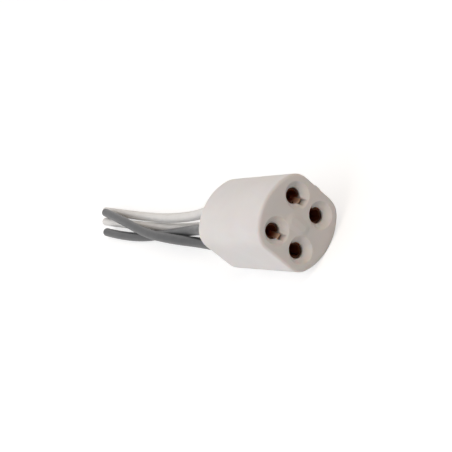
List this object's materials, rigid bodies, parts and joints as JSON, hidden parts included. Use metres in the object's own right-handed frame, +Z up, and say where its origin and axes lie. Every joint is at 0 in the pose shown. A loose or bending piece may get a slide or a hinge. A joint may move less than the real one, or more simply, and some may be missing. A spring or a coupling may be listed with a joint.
{
  "type": "circular tube lamp holder",
  "caption": "White moulded push-on holder for the pins of a ring-shaped tube lamp, with spring contacts and white and grey leads.",
  "frame": {"origin": "under the middle of the moulded block, on the surface it lies on", "axes": "+X out of the pin face, +Z up, with the block lying on one of its two rounded sides and its flats upright"},
  "size_m": [0.1189, 0.0193, 0.0167],
  "materials": {
    "housing_plastic": "satin",
    "white_sheath": "satin",
    "grey_sheath": "satin",
    "contact_bronze": "satin",
    "copper_strands": "satin"
  },
  "bodies": {
    "root": {"housing": "housing_plastic", "contact_1": "contact_bronze", "contact_2": "contact_bronze", "contact_3": "contact_bronze", "contact_4": "contact_bronze", "strands_1": "copper_strands", "strands_2": "copper_strands", "strands_3": "copper_strands", "strands_4": "copper_strands", "lead_white_1": "white_sheath", "lead_white_2": "white_sheath", "lead_grey_1": "grey_sheath", "lead_grey_2": "grey_sheath"}
  },
  "joints": []
}
